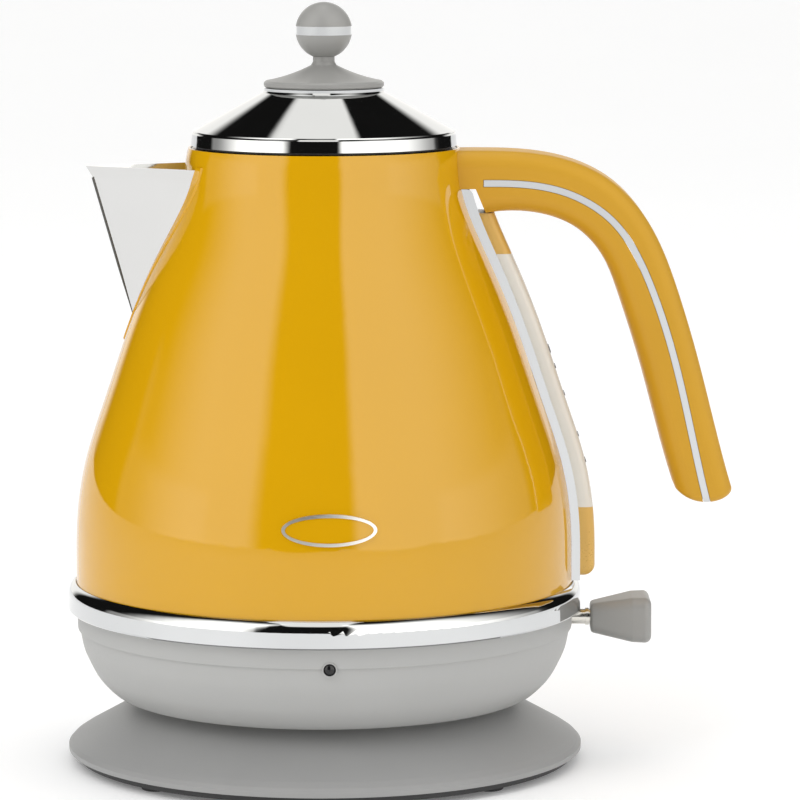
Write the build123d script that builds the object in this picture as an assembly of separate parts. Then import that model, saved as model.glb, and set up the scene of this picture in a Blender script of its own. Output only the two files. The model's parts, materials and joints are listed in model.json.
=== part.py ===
from build123d import *
import os
from math import radians, sin, tan

# Retro electric kettle on a round power base. Millimetres, +Z up.
# The origin is on the kettle's axis at the floor. The spout points along -X, the handle along +X.

# ---------------------------------------------------------------- driving dimensions
wall = 0.8                      # steel of the vessel, the lid and the spout
# radius and height along the vessel's outer side, bottom to top
vessel_side = [(84.5, 57.6), (84.5, 68), (84.2, 82), (81.1, 102.6), (74.1, 124.5), (66.3, 147.5),
               (57.5, 169.5), (50.4, 186), (47.2, 198), (45.7, 208.4)]
vessel_low = vessel_side[0][1]
vessel_high = vessel_side[-1][1]

disc_radius = 87.5              # power base
disc_low = 4.0
disc_edge = 1.6
disc_wall = 2.0
deck_radius = 57.0              # flat middle of the power base
deck_height = 22.2
foot_radius = 5.0
foot_height = 1.6
foot_circle = 77.5              # distance of each foot from the axis

boss_radius = 17.0              # connector boss that enters the kettle
boss_height = 33.0
slot_middles = (7.9, 12.4)      # radii of the two ring contacts
pin_radius = 3.0
pin_play = 0.05

ring_radius = 87.4              # chrome ring
ring_low = 52.4
ring_high = 61.6
bowl_side = [(67.5, 22.6), (70.8, 23.3), (73.6, 25.3), (77.8, 30.1), (80.4, 35.0), (82.4, 40.2),
             (83.7, 46.2), (84.2, 52.0)]
bowl_wall = 2.2
bowl_high = 57.2
floor_height = 66.0             # vessel floor

rim_radius = 44.85              # lid
rim_low = 209.3
rim_high = 213.6
dome_top_radius = 20.1
dome_top = 228.4
mouth_radius = 40.0
cap_radius = 20.2
ball_radius = 9.5
ball_height = 247.6
ball_split = 1.45               # half the height of the bright ring in the ball

crease_low = (-64.9, 152.3)     # the spout's front fold, x and height
crease_slope = 0.284            # how far it leans out for each mm up
spout_half_angle = 28.7
spout_high = 202.0
lip_height = 3.8
flange_width = 2.7

handle_half = 13.5
handle_round = 5.5
strip_width = 2.2
gauge_frame_half = 12.0
gauge_frame_out = 2.0           # how far the frame stands out from the vessel
gauge_half = 8.5
gauge_out = 7.2
window_low = 87.0
window_high = 173.0
mark_heights = (102.2, 111.0, 125.0, 134.3, 140.2)

lever_pivot = (62.0, 48.1)      # x and height
rocker_pivot = (45.5, 46.0)
stem_radius = 2.6
front_turn = 2.0                # the lamp and the plate sit this many degrees past the -Y direction


# ---------------------------------------------------------------- helpers
def turned(outline):
    """Solid of revolution about Z from closed (radius, height) points."""
    edge = Polyline(*[(r, 0, z) for r, z in outline], close=True)
    return revolve(make_face(edge), axis=Axis.Z)


def tube(outer, inner, low, high):
    return turned([(inner, low), (outer, low), (outer, high), (inner, high)])


def drum(radius, low, high, x=0, y=0):
    """Upright cylinder standing at x, y."""
    return Pos(x, y, (low + high) / 2) * Cylinder(radius, high - low)


def block(x0, x1, y0, y1, z0, z1):
    centre = Pos((x0 + x1) / 2, (y0 + y1) / 2, (z0 + z1) / 2)
    return centre * Box(x1 - x0, y1 - y0, z1 - z0)


def rod(radius, x0, x1, height, y=0):
    """Cylinder lying along X."""
    return Pos((x0 + x1) / 2, y, height) * Rot(0, 90, 0) * Cylinder(radius, x1 - x0)


def axle(radius, x, height, half):
    """Cylinder lying along Y, centred on the X-Z plane."""
    return Pos(x, 0, height) * Rot(90, 0, 0) * Cylinder(radius, 2 * half)


def vessel(out=0.0, low=vessel_low, high=vessel_high):
    """The vessel's outer form, made larger by out, as a solid between two heights."""
    side = Spline(*[(r + out, 0, z) for r, z in vessel_side], tangents=[(0, 0, 1), (-0.35, 0, 1)])
    foot = Line((0, 0, vessel_low), (vessel_side[0][0] + out, 0, vessel_low))
    top = Line((vessel_side[-1][0] + out, 0, vessel_high), (0, 0, vessel_high))
    middle = Line((0, 0, vessel_high), (0, 0, vessel_low))
    form = revolve(make_face(foot + side + top + middle), axis=Axis.Z)
    if (low, high) == (vessel_low, vessel_high):
        return form
    return form & drum(200, low, high)


def back_slab(inner, outer, half, low, high):
    """Bar down the back (+X), flat across, between two distances from the vessel's side."""
    near = Spline(*[(r + inner, 0, z) for r, z in vessel_side], tangents=[(0, 0, 1), (-0.35, 0, 1)])
    far = Spline(*[(r + outer, 0, z) for r, z in vessel_side], tangents=[(0, 0, 1), (-0.35, 0, 1)])
    face = make_face(near + far + Line(near @ 0, far @ 0) + Line(near @ 1, far @ 1))
    bar = extrude(face, amount=half, dir=(0, 1, 0), both=True)
    return bar & block(0, 150, -half - 1, half + 1, low, high)


def wedge(grow, low, high, lean=crease_slope, start=None):
    """V-shaped prism whose front fold follows the spout's crease, made wider by grow."""
    ahead = grow / sin(radians(spout_half_angle))
    x = crease_low[0] - crease_slope * (low - crease_low[1]) if start is None else start
    run = 75
    spread = run * tan(radians(spout_half_angle))
    edge = Polyline((x - ahead, 0, low), (x - ahead + run, spread, low),
                    (x - ahead + run, -spread, low), close=True)
    rise = high - low
    length = rise * (1 + lean ** 2) ** 0.5
    return extrude(make_face(edge), amount=length, dir=Vector(-lean, 0, 1).normalized())


def outermost(bar, low, high):
    """The cross edge furthest along +X, among those that lie along Y between two heights."""
    across = [e for e in bar.edges() if abs((e % 0.5).Y) > 0.99 and low < e.center().Z < high]
    reach = max(e.center().X for e in across)
    return [e for e in across if e.center().X > reach - 0.05]


def around(piece, count, start=0.0):
    return [Rot(0, 0, start + 360 / count * i) * piece for i in range(count)]


def write(name, shape):
    """Write one node as a STEP file, its solids as one compound."""
    pieces = shape if isinstance(shape, list) else [shape]
    solids = [s for p in pieces for s in p.solids()]
    whole = solids[0] if len(solids) == 1 else Compound(children=solids)
    whole.label = name
    export_step(whole, f"parts/{name}.step")
    box = whole.bounding_box()
    print(f"{name:20s} {len(solids):3d} solids  z {box.min.Z:7.2f} {box.max.Z:7.2f}")


os.makedirs("parts", exist_ok=True)

# ---------------------------------------------------------------- power base
# The cover is a shallow cone with a thin upright edge and a flat deck in the middle.
cone_slope = 0.56
knee = disc_radius - 3.6
knee_height = disc_low + disc_edge + 2.9
skirt_end = knee_height + cone_slope * (knee - deck_radius - 2.5)


def cover_outline(inset):
    """Radius and height along the cover's top, drawn in by inset, from the edge to the axis."""
    return [(disc_radius - inset, disc_low), (disc_radius - inset, disc_low + disc_edge - inset * 0.5),
            (disc_radius - 1.2 - inset, disc_low + disc_edge + 1.3 - inset),
            (knee - inset * 0.4, knee_height - inset * 0.9),
            (deck_radius + 2.5, skirt_end - inset), (deck_radius, deck_height - inset),
            (0, deck_height - inset), (0, disc_low)]


cover = turned(cover_outline(0)) - turned(cover_outline(disc_wall))
cover = cover - drum(boss_radius + 0.1, 10, 30)
post = drum(4.0, 4.2, deck_height - disc_wall + 0.5)
posts = around(Pos(30, 0, 0) * post, 3, 30)
for piece in posts:
    cover = cover + piece
for piece in around(Pos(30, 0, 0) * drum(1.55, 3, 17), 3, 30):
    cover = cover - piece
gland_notch = Pos(0, 81, 4.4) * Box(11.2, 16, 8)
cover = cover - gland_notch
write("base_cover", cover)

# The underside plate has a ring-shaped channel for winding up spare cord.
plate_low = foot_height
bottom = turned([(0, plate_low), (40, plate_low), (40, 10.2), (70, 10.2), (70, plate_low),
                 (84.6, plate_low), (84.6, 3.8), (71.6, 3.8), (71.6, 11.8), (38.4, 11.8),
                 (38.4, 3.8), (0, 3.8)])
for piece in around(Pos(30, 0, 0) * drum(1.7, 1, 5), 3, 30):
    bottom = bottom - piece
for piece in around(Pos(30, 0, 0) * drum(3.3, 1, 2.9), 3, 30):
    bottom = bottom - piece
bottom = bottom - gland_notch
cord_slot = block(-3.2, 3.2, 68, 90, 1, 12.5)
bottom = bottom - cord_slot
write("base_bottom", bottom)

screw = drum(3.0, 1.6, 2.85) + drum(1.5, 2.8, 15)
screw = screw - block(-2.2, 2.2, -0.4, 0.4, 1, 2.1)
write("base_screws", around(Pos(30, 0, 0) * screw, 3, 30))

foot = drum(foot_radius, 0, foot_height)
foot = fillet(foot.edges().sort_by(Axis.Z)[0], 0.6)
write("base_feet", around(Pos(foot_circle, 0, 0) * foot, 4, 45))

gland = Pos(0, 80.4, 4.6) * Box(11, 12, 7.2)
gland = fillet(gland.edges().filter_by(Axis.Y), 1.6)
gland = gland - Pos(0, 80, 4.6) * Rot(90, 0, 0) * Cylinder(2.7, 30)
write("cord_gland", gland)

# The boss has a hole for the round pin and two ring-shaped slots.
socket = drum(boss_radius, 13, boss_height)
socket = fillet(socket.edges().sort_by(Axis.Z)[-1], 1.2)
socket = socket + drum(21, 17.2, deck_height - disc_wall - 0.05)
socket = socket - drum(pin_radius + 0.7, 16, 40)
for middle in slot_middles:
    socket = socket - tube(middle + 1.1, middle - 1.1, 18, 40)
write("base_socket", socket)

contacts = [drum(2.2, 16.05, 19.5)]
for middle in slot_middles:
    contacts += around(Pos(middle, 0, 0) * block(-0.8, 0.8, -1.5, 1.5, 18.05, 21), 3, 20)
write("socket_contacts", contacts)

# ---------------------------------------------------------------- contact pin
pin = drum(pin_radius, 23, 41) + drum(4.4, 39, 41)
pin = fillet(pin.edges().sort_by(Axis.Z)[0], 1.0)
write("centre_pin", pin)

# ---------------------------------------------------------------- kettle: connector and bowl
housing = turned([(boss_radius + 1, 22.9), (21, 22.9), (21, 24.8), (20, 24.8), (20, 44),
                  (0, 44), (0, 42.4), (4.8, 42.4), (4.8, 38.5), (pin_radius + pin_play, 38.5),
                  (pin_radius + pin_play, 33.6), (boss_radius + 1, 33.6)])
for middle in slot_middles:
    housing = housing - tube(middle + 0.4, middle - 0.4, 30, 37)
write("connector_housing", housing)
write("connector_rings", [tube(m + 0.4, m - 0.4, 23.2, 36.9) for m in slot_middles])

side = Spline(*[(r, 0, z) for r, z in bowl_side], tangents=[(1, 0, 0.05), (0, 0, 1)])
bowl_outer = make_face(
    side + Line((84.2, 0, 52), (84.2, 0, bowl_high)) + Line((84.2, 0, bowl_high), (0, 0, bowl_high))
    + Line((0, 0, bowl_high), (0, 0, 22.6)) + Line((0, 0, 22.6), (67.5, 0, 22.6)))
inner_side = Spline(*[(r - bowl_wall, 0, z + bowl_wall * (1 - (z - 22.6) / 29.4)) for r, z in bowl_side],
                    tangents=[(1, 0, 0.05), (0, 0, 1)])
bowl_inner = make_face(
    inner_side + Line((82, 0, 52), (82, 0, 60)) + Line((82, 0, 60), (0, 0, 60))
    + Line((0, 0, 60), (0, 0, 24.8)) + Line((0, 0, 24.8), (65.3, 0, 24.8)))
bowl = revolve(bowl_outer, axis=Axis.Z) - revolve(bowl_inner, axis=Axis.Z)
bowl = bowl - drum(64, 20, 26)
lamp_place = Rot(0, 0, front_turn) * Pos(0, -83.8, 45.4) * Rot(90, 0, 0)
bowl = bowl - lamp_place * Cylinder(2.5, 12)
lever_slot = block(78, 90, -3.3, 3.3, 40.6, 51.4)
bowl = bowl - lever_slot
write("bowl", bowl)

plate = tube(63.9, 21.1, 22.9, 25.0)
plate_screws = around(Pos(50, 0, 0) * (drum(2.6, 23.05, 23.9) + drum(1.4, 23.8, 33)), 4, 45)
for piece in around(Pos(50, 0, 0) * drum(2.7, 22, 23.95), 4, 45):
    plate = plate - piece
for piece in around(Pos(50, 0, 0) * drum(1.5, 22, 26), 4, 45):
    plate = plate - piece
pillars = around(Pos(50, 0, 0) * (drum(4, 25, 36) - drum(1.45, 24, 34)), 4, 45)
for piece in pillars:
    plate = plate + piece
write("bowl_bottom", plate)
write("bowl_screws", plate_screws)

bezel = lamp_place * (Cylinder(2.45, 5) - Cylinder(2.05, 8))
bezel = Rot(0, 0, front_turn) * Pos(0, 1.9, 0) * Rot(0, 0, -front_turn) * bezel
write("indicator_bezel", bezel)
lens = Cylinder(2.0, 4) + (Pos(0, 0, 0.2) * Sphere(2.6) & Pos(0, 0, 5) * Cylinder(2.0, 6))
lens = Rot(0, 0, front_turn) * Pos(0, -81.9, 45.4) * Rot(90, 0, 0) * lens
write("indicator_lens", lens)
lamp = Rot(0, 0, front_turn) * Pos(0, -74.6, 45.4) * Rot(90, 0, 0) * Cylinder(2.3, 9)
write("indicator_lamp", lamp)

# The chrome ring hides the joint between the vessel and the bowl.
ring_edge = (Line((84.6, 0, ring_low), (ring_radius - 0.5, 0, ring_low))
             + Line((ring_radius - 0.5, 0, ring_low), (ring_radius, 0, ring_low + 0.5))
             + Line((ring_radius, 0, ring_low + 0.5), (ring_radius - 0.1, 0, 56.9))
             + ThreePointArc((ring_radius - 0.1, 0, 56.9), (86.6, 0, 60.0), (84.9, 0, ring_high))
             + Line((84.9, 0, ring_high), (84.6, 0, ring_high - 0.2))
             + Line((84.6, 0, ring_high - 0.2), (84.6, 0, ring_low)))
write("base_ring", revolve(make_face(ring_edge), axis=Axis.Z))

# ---------------------------------------------------------------- kettle: heating and control
floor = turned([(0, floor_height), (82.8, floor_height), (82.8, 60), (83.6, 60),
                (83.6, floor_height + wall), (0, floor_height + wall)])
steam_x = 40.0
floor = floor - drum(3.5, 60, 70, steam_x)
write("vessel_floor", floor)

heat_plate = drum(62, 61.9, floor_height)
heat_plate = heat_plate - drum(5.5, 60, 70, steam_x)
write("diffuser_plate", heat_plate)

element_radius = 50.0
section = Pos(element_radius, 0, 57.8) * Rot(90, 0, 0) * Circle(4.0)
element = revolve(section, axis=Axis.Z, revolution_arc=320)
element = Rot(0, 0, 20) * element
ends = []
for turn in (20, -20):
    ends.append(Rot(0, 0, turn) * Pos(element_radius, 0, 0) * drum(1.2, 46, 53.7))
write("heating_element", [element] + ends)

control = block(-25, 25, -20, 20, 44.1, 59.4)
control = fillet(control.edges().filter_by(Axis.Z), 5)
control = control - block(-21, 21, -16, 16, 46.5, 57.5)
write("control_housing", control)
discs = [drum(7, 60.4, 60.9, 0, y) + drum(1, 59.45, 60.5, 0, y) for y in (-10, 10)]
write("dry_boil_discs", discs)

steam_tube = drum(3.5, 55.4, 190, steam_x) - drum(2.6, 50, 200, steam_x)
write("steam_tube", steam_tube)
write("steam_disc", drum(6.5, 53.4, 54.0, steam_x))

cheeks = []
for y in (-11, 9):
    cheek = block(33, 66, y, y + 2, 25.5, 54.8)
    cheek = cheek - axle(2.05, lever_pivot[0], lever_pivot[1], 20)
    cheek = cheek - axle(1.55, rocker_pivot[0], rocker_pivot[1], 20)
    cheeks.append(cheek)
frame = cheeks[0] + cheeks[1] + block(33, 66, -11, 11, 25.5, 27.5)
frame = frame + block(33, 47, -9.2, 9.2, 54.05, 54.8) - drum(3.6, 53, 56, steam_x)
write("switch_frame", frame)

# ---------------------------------------------------------------- kettle: vessel
outer_form = vessel()
shell = outer_form - vessel(-wall, vessel_low - 5, vessel_high + 5)
inside_clear = wedge(-3.0, 150, 199.0)
shell = shell - inside_clear
for port in (80.0, 178.0):
    shell = shell - rod(2.5, 20, 95, port)
write("body_shell", shell)

neck = turned([(mouth_radius, 199.6), (mouth_radius + 0.9, 199.6), (mouth_radius + 0.9, 207.3),
               (44.6, 207.3), (44.6, 208.2), (mouth_radius, 208.2)])
write("neck_ring", neck)

# ---------------------------------------------------------------- kettle: spout
crease_break = spout_high - lip_height
break_x = crease_low[0] - crease_slope * (crease_break - crease_low[1])
lip_lean = 0.62
walls = wedge(0, 138, crease_break) - wedge(-0.9, 137, crease_break + 1)
lip = (wedge(0, crease_break, spout_high, lip_lean, break_x)
       - wedge(-0.9, crease_break - 1, spout_high + 1, lip_lean, break_x + lip_lean))
spout = (walls + lip) - outer_form - drum(44, 130, 230)
spout = spout & block(-100, -20, -40, 40, 130, 210)
write("spout", spout)

ribbon = vessel(0.5) - outer_form
ribbon = ribbon & wedge(flange_width, 135, crease_break + 4.8)
ribbon = ribbon - wedge(0.02, 130, crease_break + 0.02)
ribbon = ribbon - wedge(0.02, crease_break - 0.01, spout_high + 8, lip_lean, break_x)
ribbon = ribbon & block(-100, -20, -40, 40, 130, 204)
write("spout_flange", ribbon)

# ---------------------------------------------------------------- kettle: handle
outer_line = Spline((38, 0, 207.9), (60, 0, 207.7), (80, 0, 205.2), (97, 0, 197.3), (109.5, 0, 183),
                    (118.8, 0, 161.5), (126.9, 0, 134.5), (138.1, 0, 92.6))
inner_line = Spline((118.7, 0, 93.6), (106.9, 0, 135.4), (99.5, 0, 158.5), (93.2, 0, 173),
                    (85.2, 0, 181.6), (74.5, 0, 186.3), (54.4, 0, 186.8))
end_arc = ThreePointArc(outer_line @ 1, (129.4, 0, 89.2), inner_line @ 0)
notch = Polyline((54.4, 0, 186.8), (50.9, 0, 195.2), (38, 0, 195.2), (38, 0, 207.9))
handle_face = make_face(outer_line + end_arc + inner_line + notch)
handle = extrude(handle_face, amount=handle_half, dir=(0, 1, 0), both=True)
long_edges = [e for e in handle.edges()
              if abs(abs(e.center().Y) - handle_half) < 0.01 and e.length > 30 and e.center().X > 60]
handle = fillet(long_edges, handle_round)
end_face = handle.faces().sort_by(lambda face: face.center().Z)[0]
handle = fillet(end_face.edges(), 2.4)
handle = handle - outer_form

middle_line = Spline((38, 0, 197.4), (54, 0, 197.1), (66.4, 0, 196.8), (79.1, 0, 194.6), (88.5, 0, 190.6),
                     (97, 0, 184.2), (103.6, 0, 175.4), (109.6, 0, 162.8), (118.2, 0, 136.4),
                     (130.6, 0, 84))
above = make_face(middle_line + Polyline(middle_line @ 1, (170, 0, 84), (170, 0, 230), (38, 0, 230),
                                         middle_line @ 0))
above = extrude(above, amount=30, dir=(0, 1, 0), both=True)
start_plane = Plane(origin=middle_line @ 0, z_dir=middle_line % 0, x_dir=(0, 1, 0))
# The slot opens at both sides of the handle, a little wider than the strip that lies in it.
band = sweep(start_plane * Rectangle(2 * handle_half - 0.24, strip_width), path=middle_line)
slot = sweep(start_plane * Rectangle(2 * handle_half + 8, strip_width + 0.3), path=middle_line)
band_start = 53.6
band = band & block(band_start, 200, -30, 30, 60, 230)
slot = slot & block(band_start - 0.15, 200, -30, 30, 60, 230)
pocket = block(40, 78, -8.1, 8.1, 198.6, 204.2)
lower_cut = handle - above - slot
upper_cut = (handle & above) - slot - pocket
strip = band & handle
screw_spots = (62.0, 71.0)
for x in screw_spots:
    lower_cut = lower_cut - drum(1.8, 180, 200, x) - drum(3.6, 180, 190.2, x)
    strip_hole = drum(1.8, 180, 215, x)
    strip = strip - strip_hole
    upper_cut = upper_cut - drum(1.8, 190, 200, x)
write("handle_strip", strip)
write("handle_outer", upper_cut)
write("handle_inner", lower_cut)

bracket = block(40, 77.5, -8, 8, 199, 203.8) + block(40, 49, -8, 8, 196, 206)
bracket = (bracket & block(40, 77.5, -8, 8, 199, 203.8)) - outer_form
for x in screw_spots:
    bracket = bracket - drum(1.45, 190, 210, x)
write("handle_bracket", bracket)
bolts = []
for x in screw_spots:
    bolt = drum(3.3, 187.6, 190.1, x) + drum(1.4, 190, 203, x)
    bolt = bolt - block(x - 2.4, x + 2.4, -0.4, 0.4, 186, 188.4)
    bolts.append(bolt)
write("handle_screws", bolts)

# ---------------------------------------------------------------- kettle: water gauge
frame_bar = back_slab(-9, gauge_frame_out, gauge_frame_half, ring_high + 0.9, 195.0)
frame_bar = fillet(outermost(frame_bar, 190, 200), 2.5)
frame_bar = frame_bar - outer_form
for port in (80.0, 178.0):
    frame_bar = frame_bar - rod(4.0, 20, 95, port)
write("gauge_frame", frame_bar)

seals = []
for port, reach in ((80.0, 84.2), (178.0, 53.7)):
    seal = rod(3.9, reach - 12, reach + gauge_frame_out + 2, port) - rod(2.5, 20, 110, port)
    seal = (seal - outer_form) & back_slab(-9, gauge_frame_out - 0.05, 6, 70, 190)
    seals.append(seal)
write("gauge_seals", seals)

proud = back_slab(gauge_frame_out, gauge_out, gauge_half, ring_high + 1.6, 186.7)
corner_edges = [e for e in proud.edges()
                if abs(abs(e.center().Y) - gauge_half) < 0.01 and e.length > 60]
outer_long = sorted(corner_edges, key=lambda e: e.center().X)[-2:]
proud = fillet(outer_long, 2.6)
proud = fillet(outermost(proud, 60, 65), 4.0)
hollow = back_slab(gauge_frame_out - 1, gauge_out - 1.6, gauge_half - 1.6, 72, 182)
cap_low = proud & block(40, 120, -20, 20, 55, window_low)
cap_high = (proud & block(40, 120, -20, 20, window_high, 200)) - handle
window = proud & block(40, 120, -20, 20, window_low + 0.02, window_high - 0.02)
write("gauge_cap_bottom", cap_low - hollow)
write("gauge_cap_top", cap_high - hollow)
write("gauge_window", window - hollow)

backing = back_slab(gauge_frame_out + 0.02, gauge_frame_out + 0.9, gauge_half - 1.7,
                    window_low + 0.5, window_high - 0.5)
write("gauge_back", backing)

marks = []
mark_shell = back_slab(gauge_out + 0.01, gauge_out + 0.3, 3.4, window_low, window_high)
for height in mark_heights:
    tall = 1.1 if height == mark_heights[-1] else 0.45
    marks.append(mark_shell & block(60, 100, -4, 4, height - tall, height + tall))
write("gauge_marks", marks)

# ---------------------------------------------------------------- kettle: plain oval plate
plate_place = Rot(0, 0, front_turn) * Pos(0, -60, 90.8) * Rot(90, 0, 0)
outer_oval = plate_place * extrude(Ellipse(15.4, 5.2), amount=40)
inner_oval = plate_place * extrude(Ellipse(14.3, 4.1), amount=40)
rim_layer = vessel(1.0) - outer_form
field_layer = vessel(0.6) - outer_form
write("badge_rim", (rim_layer & outer_oval) - inner_oval)
write("badge_field", field_layer & inner_oval)

# ---------------------------------------------------------------- scale filter behind the spout
filter_layer = vessel(-1.5) - vessel(-3.5)
panel = filter_layer & block(-70, -30, -17, 17, 160, 196)
window_cut = block(-80, -20, -14, 14, 163, 193)
cross_bar = block(-80, -20, -14.5, 14.5, 177, 179)
filter_frame = (panel - window_cut) + (filter_layer & cross_bar)
write("filter_frame", filter_frame)
mesh_layer = vessel(-2.3) - vessel(-2.7)
threads = []
for i in range(9):
    y = -13.2 + 3.3 * i
    threads.append(block(-80, -20, y - 0.35, y + 0.35, 162.9, 193.1))
for i in range(8):
    z = 164.5 + 3.6 * i
    threads.append(block(-80, -20, -14.1, 14.1, z - 0.35, z + 0.35))
grid = threads[0].fuse(*threads[1:])
mesh = (mesh_layer & grid & block(-70, -30, -13.98, 13.98, 163.02, 192.98)) - cross_bar
write("filter_mesh", mesh)
clip_layer = vessel(-wall - 0.02) - vessel(-3.6)
clips = [clip_layer & block(-70, -30, y, y + 1.8, 166, 190) for y in (-19.4, 17.6)]
write("filter_rails", clips)

# ---------------------------------------------------------------- lid
lid_rim = turned([(43.4, rim_low), (rim_radius, rim_low), (rim_radius - 0.35, rim_high - 0.5),
                  (rim_radius - 0.8, rim_high), (43.4, rim_high)])
write("lid_rim", lid_rim)
cone_low = rim_high + 0.4
dome = turned([(43.4, rim_high + 0.02), (rim_radius - 0.85, rim_high + 0.02), (43.8, cone_low),
               (dome_top_radius + 0.5, 226.9), (dome_top_radius, 227.5), (dome_top_radius, dome_top),
               (0, dome_top), (0, dome_top - 1), (dome_top_radius - 0.8, dome_top - 1),
               (dome_top_radius - 0.8, 226.4), (43.0, cone_low - 0.2)])
dome = dome - drum(1.7, 220, 230)
write("lid_dome", dome)
plug = turned([(0, 199.0), (38.8, 199.0), (38.8, 208.6), (43.2, 208.6), (43.2, 210.4), (36.8, 210.4),
               (36.8, 200.6), (0, 200.6)])
plug = plug - drum(2.2, 190, 205)
write("lid_plug", plug)
write("lid_seal", turned([(38.82, 202.4), (39.6, 202.4), (39.94, 203.2), (39.94, 204), (39.6, 204.8),
                          (38.82, 204.8)]))
lid_clip = Pos(38.9, 0, 206.6) * Box(1.2, 7, 1.6)
lid_clip = (lid_clip & tube(39.7, 38.82, 205, 208))
write("lid_clips", around(lid_clip, 3, 60))

# The cap's top sweeps up in a hollow curve to the neck.
cap_edge = (Line((1.6, 0, dome_top + 0.2), (19.7, 0, dome_top + 0.2))
            + Line((19.7, 0, dome_top + 0.2), (cap_radius, 0, dome_top + 0.7))
            + Line((cap_radius, 0, dome_top + 0.7), (cap_radius, 0, 230.2))
            + Line((cap_radius, 0, 230.2), (cap_radius - 0.7, 0, 230.8))
            + ThreePointArc((cap_radius - 0.7, 0, 230.8), (11.5, 0, 232.9), (4.3, 0, 236.0))
            + Line((4.3, 0, 236.0), (3.65, 0, 237.2))
            + Line((3.65, 0, 237.2), (3.65, 0, 238.8))
            + Line((3.65, 0, 238.8), (1.6, 0, 238.8))
            + Line((1.6, 0, 238.8), (1.6, 0, dome_top + 0.2)))
write("knob_base", revolve(make_face(cap_edge), axis=Axis.Z))
ball = Pos(0, 0, ball_height) * Sphere(ball_radius)
lower = ball & drum(20, 238.82, ball_height - ball_split)
lower = lower - drum(1.6, 230, 243)
write("knob_lower", lower)
write("knob_ring", drum(ball_radius - 0.27, ball_height - ball_split + 0.01, ball_height + ball_split - 0.01))
write("knob_upper", ball & drum(20, ball_height + ball_split, 260))
write("knob_screw", drum(1.5, 225.3, 242) + drum(3.4, 224, 227.3))

# ---------------------------------------------------------------- switch lever
px, pz = lever_pivot
arm = block(55, 77, -5, 5, pz - 3.6, pz + 3.4) + axle(2.0, px, pz, 10.9)
arm = arm - rod(stem_radius, 70, 80, pz)
write("lever_arm", arm)
stem = rod(stem_radius, 70.05, 91.4, pz)
stem = stem + rod(3.0, 88.8, 90.0, pz)
write("lever_stem", stem)

sections = [(90.5, 9.9, 12.0), (104.5, 15.2, 21.0), (110.9, 15.5, 23.0)]
faces = []
for x, tall, wide in sections:
    place = Plane(origin=(x, 0, pz), x_dir=(0, 1, 0), z_dir=(1, 0, 0))
    faces.append(place * RectangleRounded(wide, tall, 3.4))
paddle = loft(faces[:2], ruled=True) + loft(faces[1:], ruled=True)
face_edges = paddle.faces().sort_by(Axis.X)[-1].edges()
paddle = fillet(face_edges, 2.2)
near_edges = paddle.faces().sort_by(Axis.X)[0].edges()
paddle = fillet(near_edges, 1.4)
paddle = paddle - rod(stem_radius, 80, 91.45, pz)
write("lever_paddle", paddle)

rx, rz = rocker_pivot
rocker = block(36.5, 50.5, -4, 4, rz - 2, rz + 2) + axle(1.5, rx, rz, 10.9)
rocker = rocker + drum(1.6, rz + 1.5, 52.6, steam_x)
write("trip_rocker", rocker)
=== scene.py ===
"""Retro electric kettle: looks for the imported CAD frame."""
import json
import math

import bpy
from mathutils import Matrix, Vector


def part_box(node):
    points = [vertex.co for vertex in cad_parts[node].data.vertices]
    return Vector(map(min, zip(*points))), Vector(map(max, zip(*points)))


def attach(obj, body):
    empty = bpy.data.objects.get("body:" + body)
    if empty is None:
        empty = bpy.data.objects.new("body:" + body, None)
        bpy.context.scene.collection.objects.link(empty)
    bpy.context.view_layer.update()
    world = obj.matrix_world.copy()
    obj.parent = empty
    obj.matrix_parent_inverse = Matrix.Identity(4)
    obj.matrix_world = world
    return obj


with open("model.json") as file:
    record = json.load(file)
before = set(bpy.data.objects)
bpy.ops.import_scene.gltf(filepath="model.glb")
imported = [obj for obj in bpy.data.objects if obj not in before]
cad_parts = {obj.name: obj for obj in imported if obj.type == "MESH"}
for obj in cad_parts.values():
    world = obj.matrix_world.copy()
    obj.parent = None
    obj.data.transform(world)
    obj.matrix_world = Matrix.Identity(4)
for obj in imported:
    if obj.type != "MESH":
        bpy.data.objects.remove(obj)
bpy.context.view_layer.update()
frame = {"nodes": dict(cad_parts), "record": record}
scene = bpy.context.scene
nodes = frame["nodes"]

MM = 0.001


# ------------------------------------------------------------------ node helpers
NOISE_LOW, NOISE_HIGH = 0.3, 0.7        # the range that most of a noise's values lie in


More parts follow.
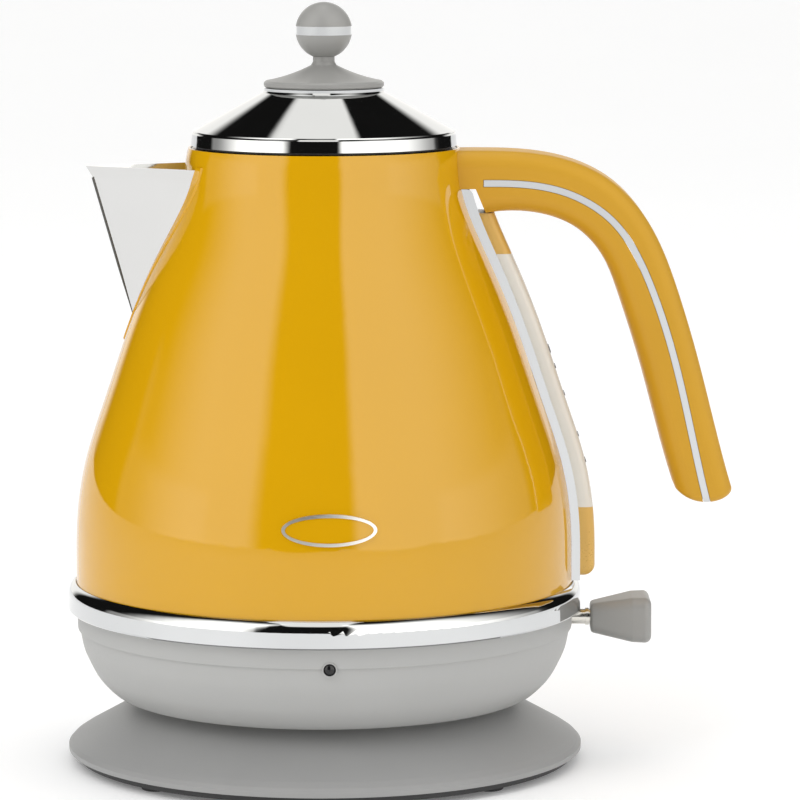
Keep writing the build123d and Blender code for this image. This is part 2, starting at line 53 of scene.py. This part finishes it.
class Tree:
    """Short names for building one node tree."""

    def __init__(self, tree):
        self.tree = tree
        tree.nodes.clear()

    def add(self, kind, **settings):
        node = self.tree.nodes.new(kind)
        for key, value in settings.items():
            setattr(node, key, value)
        return node

    def put(self, value, socket):
        """Link a socket, or set a plain value."""
        if isinstance(value, bpy.types.NodeSocket):
            self.tree.links.new(value, socket)
        else:
            socket.default_value = value

    def math(self, operation, a, b=0.0, c=0.0):
        node = self.add("ShaderNodeMath", operation=operation)
        for value, socket in zip((a, b, c), node.inputs):
            self.put(value, socket)
        return node.outputs[0]

    def ramp_up(self, value, low, high, start=0.0, end=1.0):
        """Smooth step from start to end as value goes from low to high."""
        node = self.add("ShaderNodeMapRange", interpolation_type="SMOOTHSTEP")
        for item, name in ((value, "Value"), (low, "From Min"), (high, "From Max"),
                           (start, "To Min"), (end, "To Max")):
            self.put(item, node.inputs[name])
        return node.outputs[0]

    def ramp_down(self, value, low, high):
        """Smooth step from 1 to 0 as value goes from low to high."""
        return self.ramp_up(value, low, high, 1.0, 0.0)

    def between(self, value, rise, fall):
        """Smooth step up over the range rise, and down again over the range fall."""
        return self.math("MULTIPLY", self.ramp_up(value, *rise), self.ramp_down(value, *fall))

    def band(self, value, low, high, soft):
        """1 between low and high, fading to 0 over soft on either side of each."""
        return self.between(value, (low - soft, low + soft), (high - soft, high + soft))

    def place(self, stretch=(1.0, 1.0, 1.0)):
        """Position in the piece's own frame, stretched."""
        where = self.add("ShaderNodeTexCoord")
        mapping = self.add("ShaderNodeMapping")
        self.put(where.outputs["Object"], mapping.inputs["Vector"])
        mapping.inputs["Scale"].default_value = stretch
        return mapping.outputs[0]

    def noise(self, where, size, detail):
        """Noise whose features are about size metres across."""
        node = self.add("ShaderNodeTexNoise")
        self.put(where, node.inputs["Vector"])
        node.inputs["Scale"].default_value = 1.0 / size
        node.inputs["Detail"].default_value = detail
        return node.outputs["Fac"]

    def tint(self, factor, dark, light):
        """Colour from dark to light as factor crosses the middle of the noise."""
        node = self.add("ShaderNodeValToRGB")
        self.put(factor, node.inputs[0])
        for stop, position, colour in zip(node.color_ramp.elements, (NOISE_LOW, NOISE_HIGH),
                                          (dark, light)):
            stop.position = position
            stop.color = (*colour, 1.0)
        return node.outputs[0]

    def bump(self, height, distance, normal=None):
        node = self.add("ShaderNodeBump")
        node.inputs["Strength"].default_value = 1.0
        node.inputs["Distance"].default_value = distance
        self.put(height, node.inputs["Height"])
        if normal is not None:
            self.put(normal, node.inputs["Normal"])
        return node.outputs[0]


def shade(colour, amount):
    """The colour made lighter by the share amount, or darker where amount is negative."""
    return tuple(max(0.0, min(1.0, channel * (1.0 + amount))) for channel in colour)


BROAD_DETAIL, FINE_DETAIL, PEEL_DETAIL = 2.0, 4.0, 1.0
PEEL_SIZE = 2.2 * MM                    # width of the ripples in paint
FINE_SHARE, BROAD_SHARE = 0.6, 0.4      # how much each noise moves the roughness


def surface(t, colour, rough, spread=0.03, rough_spread=0.03, patch=30 * MM, grain=0.8 * MM,
            grain_depth=0.0, peel=0.0, stretch=(1.0, 1.0, 1.0), **sockets):
    """Principled shader with varied colour and roughness, and up to two reliefs.

    Colour varies by the share spread over areas patch wide. The grain is relief of grain_depth
    and the peel is a softer ripple of that depth, both in metres.
    """
    shader = t.add("ShaderNodeBsdfPrincipled")
    broad = t.noise(t.place(), patch, BROAD_DETAIL)
    fine = t.noise(t.place(stretch), grain, FINE_DETAIL)
    t.put(t.tint(broad, shade(colour, -spread), shade(colour, spread)),
          shader.inputs["Base Color"])
    mixed = t.math("MULTIPLY_ADD", fine, FINE_SHARE, t.math("MULTIPLY", broad, BROAD_SHARE))
    t.put(t.ramp_up(mixed, NOISE_LOW, NOISE_HIGH, max(0.0, rough - rough_spread),
                    rough + rough_spread), shader.inputs["Roughness"])
    normal = None
    if peel:
        normal = t.bump(t.noise(t.place(), PEEL_SIZE, PEEL_DETAIL), peel)
    if grain_depth:
        normal = t.bump(fine, grain_depth, normal)
    if normal is not None:
        t.put(normal, shader.inputs["Normal"])
    for name, value in sockets.items():
        shader.inputs[name.replace("_", " ")].default_value = value
    return shader


def new_material(name):
    material = bpy.data.materials.new(name)
    material.use_nodes = True
    return material, Tree(material.node_tree)


def finish_material(t, shader_socket):
    out = t.add("ShaderNodeOutputMaterial")
    t.put(shader_socket, out.inputs["Surface"])


# ------------------------------------------------------------------ materials
YELLOW = (0.655, 0.342, 0.003)
YELLOW_MATT = (0.600, 0.318, 0.016)
YELLOW_PALE = (0.780, 0.470, 0.105)
HAIRLINE = (1.0, 1.0, 14.0)             # squeezes the grain along Z into brushed lines

# Keys that surface() doesn't name are sockets of the shader, with _ for a space.
RECIPES = {
    "chrome": dict(
        colour=(0.645, 0.655, 0.660), rough=0.035, rough_spread=0.02, spread=0.01,
        patch=18 * MM, Metallic=1.0),
    "polished_steel": dict(
        colour=(0.640, 0.638, 0.630), rough=0.09, rough_spread=0.03, spread=0.015,
        stretch=HAIRLINE, grain=1.5 * MM, grain_depth=0.0008 * MM, Metallic=1.0),
    "steel": dict(
        colour=(0.72, 0.71, 0.69), rough=0.26, rough_spread=0.08,
        stretch=HAIRLINE, grain=1.2 * MM, grain_depth=0.002 * MM, Metallic=1.0),
    "zinc": dict(
        colour=(0.74, 0.72, 0.67), rough=0.20, rough_spread=0.05,
        grain=0.6 * MM, grain_depth=0.001 * MM, Metallic=1.0),
    "aluminium": dict(
        colour=(0.78, 0.79, 0.80), rough=0.38, rough_spread=0.08,
        grain=0.9 * MM, grain_depth=0.004 * MM, Metallic=1.0),
    "brass": dict(
        colour=(0.76, 0.56, 0.24), rough=0.24, rough_spread=0.07,
        grain=0.7 * MM, grain_depth=0.001 * MM, Metallic=1.0),
    "yellow_plastic": dict(
        colour=YELLOW_MATT, rough=0.40, rough_spread=0.04, spread=0.02,
        grain=0.45 * MM, grain_depth=0.010 * MM, Specular_IOR_Level=0.35),
    "bowl_grey": dict(
        colour=(0.425, 0.427, 0.418), rough=0.52, rough_spread=0.05, spread=0.015,
        grain=0.5 * MM, grain_depth=0.012 * MM),
    "base_grey": dict(
        colour=(0.330, 0.330, 0.326), rough=0.46, rough_spread=0.05, spread=0.02,
        grain=0.5 * MM, grain_depth=0.012 * MM),
    "knob_grey": dict(
        colour=(0.318, 0.314, 0.300), rough=0.38, rough_spread=0.04, spread=0.015,
        grain=0.4 * MM, grain_depth=0.006 * MM),
    "black_plastic": dict(
        colour=(0.030, 0.030, 0.031), rough=0.48, rough_spread=0.07, spread=0.15,
        grain=0.5 * MM, grain_depth=0.014 * MM),
    "white_plastic": dict(
        colour=(0.70, 0.68, 0.63), rough=0.45, rough_spread=0.05, spread=0.02,
        grain=0.5 * MM, grain_depth=0.008 * MM),
    "rubber": dict(
        colour=(0.040, 0.040, 0.041), rough=0.72, rough_spread=0.08, spread=0.15,
        grain=0.6 * MM, grain_depth=0.020 * MM),
    "silicone": dict(
        colour=(0.68, 0.67, 0.64), rough=0.42, rough_spread=0.05, spread=0.02,
        grain=0.7 * MM, grain_depth=0.008 * MM),
    "ink": dict(
        colour=(0.030, 0.030, 0.030), rough=0.40, rough_spread=0.06, spread=0.15,
        grain=0.3 * MM, grain_depth=0.004 * MM),
    "lamp": dict(
        colour=(0.006, 0.006, 0.007), rough=0.10, rough_spread=0.03, spread=0.2,
        peel=0.004 * MM),
    "window": dict(
        colour=(0.90, 0.855, 0.765), rough=0.16, rough_spread=0.05, spread=0.015,
        grain=0.8 * MM, grain_depth=0.004 * MM, Transmission_Weight=0.20, IOR=1.49),
    # darker than the spout it edges: it stands in for what the fold reflects in the photo
    "fold_steel": dict(
        colour=(0.105, 0.102, 0.096), rough=0.22, rough_spread=0.05, spread=0.04,
        grain=0.5 * MM, grain_depth=0.001 * MM, Metallic=1.0),
    "badge_metal": dict(
        colour=(0.90, 0.88, 0.83), rough=0.34, rough_spread=0.06,
        grain=0.4 * MM, grain_depth=0.002 * MM, Metallic=1.0),
    "cap_yellow": dict(
        colour=YELLOW_PALE, rough=0.30, rough_spread=0.04, spread=0.02,
        grain=0.5 * MM, grain_depth=0.006 * MM, Transmission_Weight=0.15),
    "yellow_paint": dict(
        colour=YELLOW, rough=0.20, rough_spread=0.03, spread=0.012, patch=60 * MM,
        peel=0.006 * MM, Specular_IOR_Level=0.0, Coat_Weight=1.0, Coat_Roughness=0.04,
        Coat_IOR=1.55),
}

materials = {}
for name, recipe in RECIPES.items():
    materials[name], tree = new_material(name)
    finish_material(tree, surface(tree, **recipe).outputs[0])

WALL_TURN = 0.06                        # steel turns to enamel as the facing goes from -this to 0


def vessel_material():
    """Enamel outside and bare brushed steel inside, told apart by which way the wall faces."""
    material, t = new_material("vessel_wall")
    where = t.add("ShaderNodeTexCoord")
    flat = t.add("ShaderNodeVectorMath", operation="MULTIPLY")
    t.put(where.outputs["Object"], flat.inputs[0])
    flat.inputs[1].default_value = (1.0, 1.0, 0.0)
    outward = t.add("ShaderNodeVectorMath", operation="NORMALIZE")
    t.put(flat.outputs[0], outward.inputs[0])
    facing = t.add("ShaderNodeVectorMath", operation="DOT_PRODUCT")
    t.put(outward.outputs[0], facing.inputs[0])
    t.put(where.outputs["Normal"], facing.inputs[1])
    mix = t.add("ShaderNodeMixShader")
    t.put(t.ramp_up(facing.outputs["Value"], -WALL_TURN, 0.0), mix.inputs[0])
    t.put(surface(t, **RECIPES["steel"]).outputs[0], mix.inputs[1])
    t.put(surface(t, **RECIPES["yellow_paint"]).outputs[0], mix.inputs[2])
    finish_material(t, mix.outputs[0])
    return material


materials["vessel_wall"] = vessel_material()

# nodes whose look isn't the one their slot names
SPECIAL = {"body_shell": "vessel_wall", "gauge_cap_top": "cap_yellow",
           "gauge_cap_bottom": "cap_yellow", "badge_rim": "badge_metal"}
for part in frame["record"]["subparts"]:
    chosen = materials[SPECIAL.get(part["node"], part["material_slot"])]
    for material_slot in nodes[part["node"]].material_slots:
        material_slot.material = chosen


# ------------------------------------------------------------------ folded front edge of the spout
FOLD_RADIUS = 0.45 * MM
FOLD_ROUNDNESS = 6
FOLD_FOOT = Vector((-64.9, 0.0, 152.3)) * MM
FOLD_LEAN = 0.284                       # how far the fold leans out for each unit up
FOLD_STEPS = 12
FOOT_SHARE, FOOT_GROWTH = 0.35, 2.0     # share of the radius at the foot, and how fast it grows
LIP_DROP = 3.8 * MM                     # the bead stops this far below the spout's top


def fold_bead():
    """Rounded bead down the sharp front fold of the spout, tapering into the wall at its foot."""
    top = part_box("spout")[1].z - LIP_DROP
    rise = top - FOLD_FOOT.z
    curve = bpy.data.curves.new("spout_fold", "CURVE")
    curve.dimensions = "3D"
    curve.bevel_depth = FOLD_RADIUS
    curve.bevel_resolution = FOLD_ROUNDNESS
    curve.use_fill_caps = True
    line = curve.splines.new("POLY")
    line.points.add(FOLD_STEPS)
    for i, point in enumerate(line.points):
        share = i / FOLD_STEPS
        point.co = (FOLD_FOOT.x - FOLD_LEAN * rise * share, 0.0, FOLD_FOOT.z + rise * share, 1.0)
        point.radius = min(1.0, FOOT_SHARE + FOOT_GROWTH * share)
    bead = bpy.data.objects.new("spout_fold", curve)
    scene.collection.objects.link(bead)
    curve.materials.append(materials["fold_steel"])
    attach(bead, "kettle")


fold_bead()

# ------------------------------------------------------------------ floor
FLOOR_REACH = 14.0
FLOOR_COLOUR = (0.93, 0.93, 0.93)
FLOOR_GLOW = 0.13                       # lifts the floor to the photo's white

floor_mesh = bpy.data.meshes.new("floor")
floor_mesh.from_pydata(
    [(-FLOOR_REACH, -FLOOR_REACH, 0), (FLOOR_REACH, -FLOOR_REACH, 0),
     (FLOOR_REACH, FLOOR_REACH, 0), (-FLOOR_REACH, FLOOR_REACH, 0)], [], [(0, 1, 2, 3)])
floor = bpy.data.objects.new("floor", floor_mesh)
scene.collection.objects.link(floor)
floor_material, tree = new_material("floor")
finish_material(tree, surface(tree, colour=FLOOR_COLOUR, rough=0.65, spread=0.004,
                              patch=400 * MM, grain=4 * MM, Emission_Color=(1.0, 1.0, 1.0, 1.0),
                              Emission_Strength=FLOOR_GLOW).outputs[0])
floor_mesh.materials.append(floor_material)

# ------------------------------------------------------------------ studio light
# What the bright surfaces mirror. Angles are in degrees: round from the front (-Y), positive
# towards +X, and up from the horizon. A pair is where a fade starts and ends.
LEFT_BOX = dict(rise=(-108, -62), fall=(-37, -27))      # two tall soft boxes in front,
RIGHT_BOX = dict(rise=(12, 18), fall=(50, 122))         # with a dark gap between them
BOX_TOP = (55, 75)
BACKDROP_SIDE, BACKDROP_TOP = (146, 156), (22, 32)      # pale, low down behind
WALL_SIDES, WALL_TOP = (56, 112, 3), (12, 17)           # low and pale at both sides
STRIP_SIDES, STRIP_FOOT = (-0.22, 0.13, 0.015), (50, 56)        # pale, overhead; sides are in X
LEFT_LEVEL, RIGHT_LEVEL, BACKDROP_LEVEL, WALL_LEVEL, STRIP_LEVEL = 1.9, 1.95, 1.15, 0.35, 1.17
DARK_LEVEL = 0.008                      # everything between them
GLOW_COLOUR = (1.0, 0.985, 0.95, 1.0)
SOFT_FILL = 0.93                        # for every ray that isn't a mirror one, the same all round
FILL_COLOUR = (1.0, 1.0, 1.0, 1.0)
DEGREES = 180 / math.pi

world = bpy.data.worlds.new("studio")
scene.world = world
world.use_nodes = True
t = Tree(world.node_tree)
split = t.add("ShaderNodeSeparateXYZ")
t.put(t.add("ShaderNodeTexCoord").outputs["Generated"], split.inputs[0])
dx, dy, dz = split.outputs
around = t.math("MULTIPLY", t.math("ARCTAN2", dx, t.math("MULTIPLY", dy, -1.0)), DEGREES)
up = t.math("MULTIPLY", t.math("ARCSINE", dz), DEGREES)
away = t.math("ABSOLUTE", around)
left_box = t.math("MULTIPLY", t.between(around, **LEFT_BOX), t.ramp_down(up, *BOX_TOP))
right_box = t.math("MULTIPLY", t.between(around, **RIGHT_BOX), t.ramp_down(up, *BOX_TOP))
backdrop = t.math("MULTIPLY", t.ramp_up(away, *BACKDROP_SIDE), t.ramp_down(up, *BACKDROP_TOP))
low_wall = t.math("MULTIPLY", t.band(away, *WALL_SIDES), t.ramp_down(up, *WALL_TOP))
top_strip = t.math("MULTIPLY", t.band(dx, *STRIP_SIDES), t.ramp_up(up, *STRIP_FOOT))
glow = t.math("MULTIPLY", left_box, LEFT_LEVEL)
for patch_glow, level in ((right_box, RIGHT_LEVEL), (backdrop, BACKDROP_LEVEL),
                          (low_wall, WALL_LEVEL), (top_strip, STRIP_LEVEL)):
    glow = t.math("ADD", glow, t.math("MULTIPLY", patch_glow, level))
glow = t.math("ADD", glow, DARK_LEVEL)


def background(colour, strength):
    """Background shader whose strength is a number or a socket."""
    node = t.add("ShaderNodeBackground")
    node.inputs["Color"].default_value = colour
    t.put(strength, node.inputs["Strength"])
    return node.outputs[0]


choose = t.add("ShaderNodeMixShader")
t.put(t.add("ShaderNodeLightPath").outputs["Is Glossy Ray"], choose.inputs[0])
t.put(background(FILL_COLOUR, SOFT_FILL), choose.inputs[1])
t.put(background(GLOW_COLOUR, glow), choose.inputs[2])
t.put(choose.outputs[0], t.add("ShaderNodeOutputWorld").inputs["Surface"])

LIGHT_AIM = (0, 0, 0.12)


def soft_light(name, place, size, power):
    """Large soft light that shapes the matt surfaces and isn't mirrored in the bright ones."""
    data = bpy.data.lights.new(name, "AREA")
    data.shape = "DISK"
    data.size = size
    data.energy = power
    lamp = bpy.data.objects.new(name, data)
    scene.collection.objects.link(lamp)
    lamp.location = place
    lamp.rotation_euler = (Vector(LIGHT_AIM) - Vector(place)).to_track_quat("-Z", "Y").to_euler()
    lamp.visible_glossy = False


soft_light("key", place=(-0.9, -1.2, 1.5), size=1.0, power=6.0)
soft_light("top", place=(0.3, 0.2, 1.8), size=1.2, power=4.2)

# ------------------------------------------------------------------ camera
LENS_MM = 193.85
SENSOR_MM = 36.0
CAMERA_PLACE = (0.0256, -1.450, 0.3061)
LOOKS_DOWN = 7.216                      # degrees below the horizon

camera_data = bpy.data.cameras.new("camera")
camera_data.lens = LENS_MM
camera_data.sensor_width = SENSOR_MM
camera = bpy.data.objects.new("camera", camera_data)
scene.collection.objects.link(camera)
camera.location = CAMERA_PLACE
camera.rotation_euler = (math.radians(90 - LOOKS_DOWN), 0, 0)
scene.camera = camera
scene.view_settings.view_transform = "Standard"
